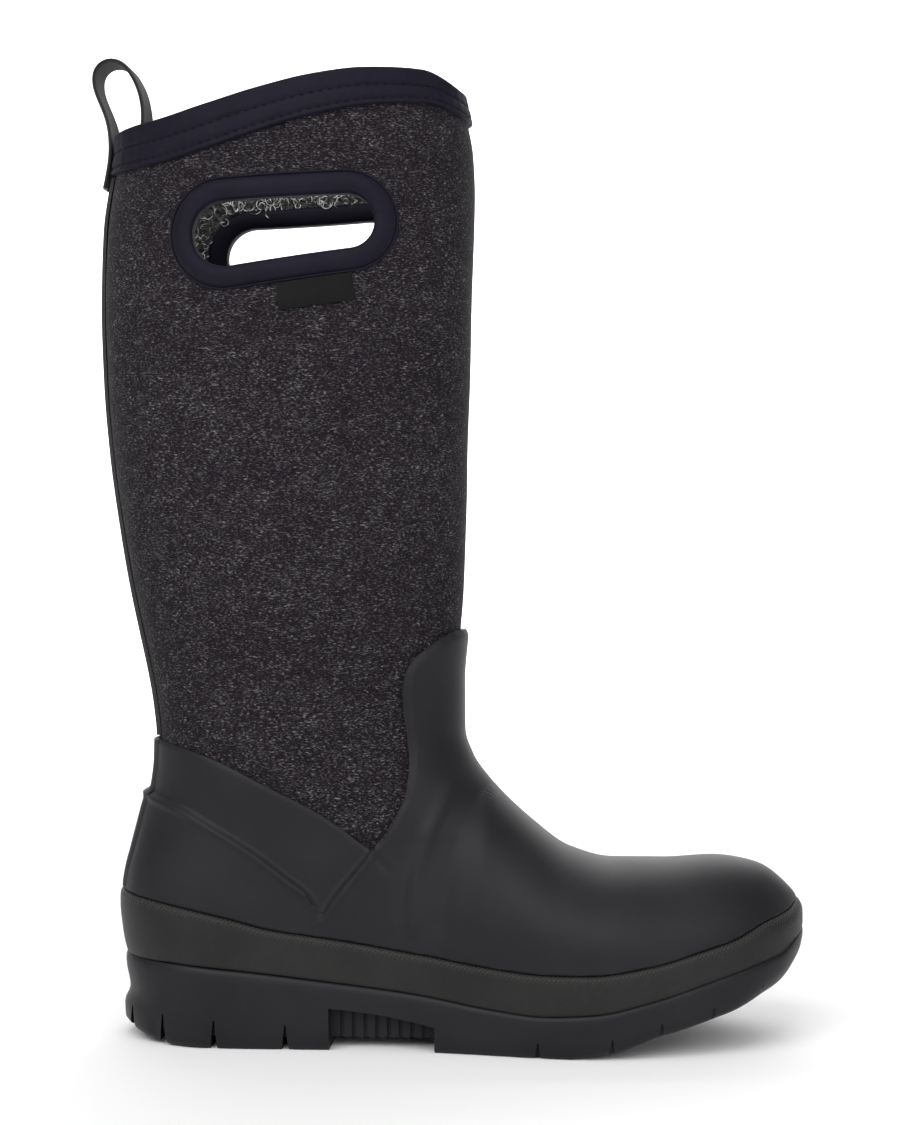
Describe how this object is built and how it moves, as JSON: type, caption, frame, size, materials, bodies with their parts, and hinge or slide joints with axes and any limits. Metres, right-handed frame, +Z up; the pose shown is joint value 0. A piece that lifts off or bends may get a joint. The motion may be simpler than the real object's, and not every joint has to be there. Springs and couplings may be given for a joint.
{
  "type": "wellington boot",
  "caption": "Tall wellington boot, right foot: knit-faced foam rubber shaft with handle holes and pull loop, moulded rubber shell, lugged outsole.",
  "frame": {"origin": "on the floor under the middle lug of the heel, on the boot's middle plane", "axes": "+X toward the toe, +Y toward the inner side of this right boot, +Z up"},
  "size_m": [0.3007, 0.106, 0.4129],
  "materials": {
    "sole_rubber": "matte moulded rubber",
    "insole_foam": "fabric-faced foam",
    "knit_faced_foam": "heathered knit on foam rubber",
    "shell_rubber": "matte moulded rubber",
    "foxing_rubber": "fine knurled rubber",
    "strip_rubber": "matte moulded rubber",
    "webbing": "woven webbing",
    "binding_cloth": "smooth dark navy cloth",
    "tag_cloth": "woven tag, bare"
  },
  "bodies": {
    "root": {"outsole": "sole_rubber", "insole": "insole_foam", "upper": "knit_faced_foam", "shell": "shell_rubber", "foxing": "foxing_rubber", "heel_strip": "strip_rubber", "back_strip": "webbing", "collar_binding": "binding_cloth", "handle_binding_lateral": "binding_cloth", "handle_binding_medial": "binding_cloth", "pull_loop": "webbing", "label_tab": "tag_cloth"}
  },
  "joints": []
}
